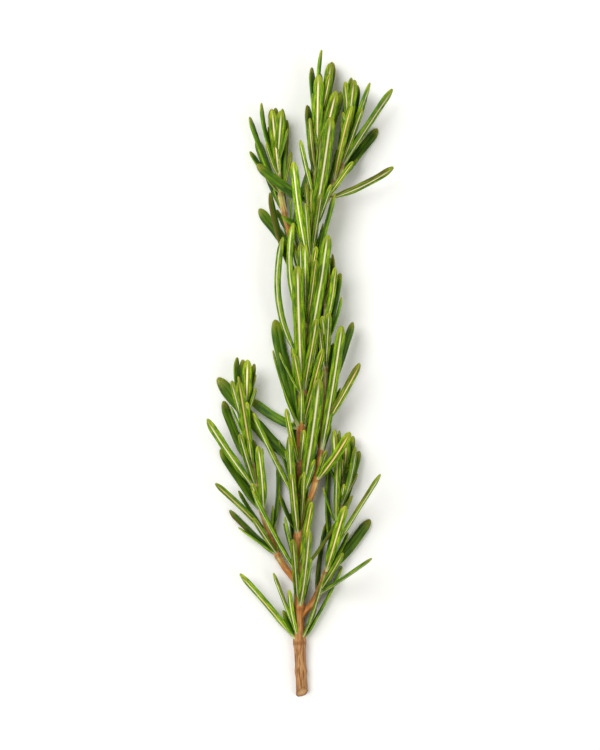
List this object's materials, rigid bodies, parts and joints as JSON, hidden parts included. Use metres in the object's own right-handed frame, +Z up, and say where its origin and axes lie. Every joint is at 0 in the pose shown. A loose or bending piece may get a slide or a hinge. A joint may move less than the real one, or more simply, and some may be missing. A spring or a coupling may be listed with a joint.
{
  "type": "rosemary sprig",
  "caption": "Cut rosemary sprig lying on its side: a bare woody base, a long leafy stem with needle-like leaves in opposite pairs, and leafy side shoots.",
  "frame": {"origin": "middle of the base of the sprig's box, on the surface it lies on", "axes": "+Y runs along the stem from the cut end to the growing tip, +Z is up from the surface, +X is to the right as the sprig is seen from above with its tip pointing away"},
  "size_m": [0.0538, 0.1882, 0.0176],
  "materials": {
    "bark": "matte",
    "leaf": "satin"
  },
  "bodies": {
    "root": {"woody_base": "bark", "leafy_stem": "leaf", "side_shoot_1": "leaf", "side_shoot_2": "leaf", "side_shoot_3": "leaf", "side_shoot_4": "leaf", "side_shoot_5": "leaf"}
  },
  "joints": []
}
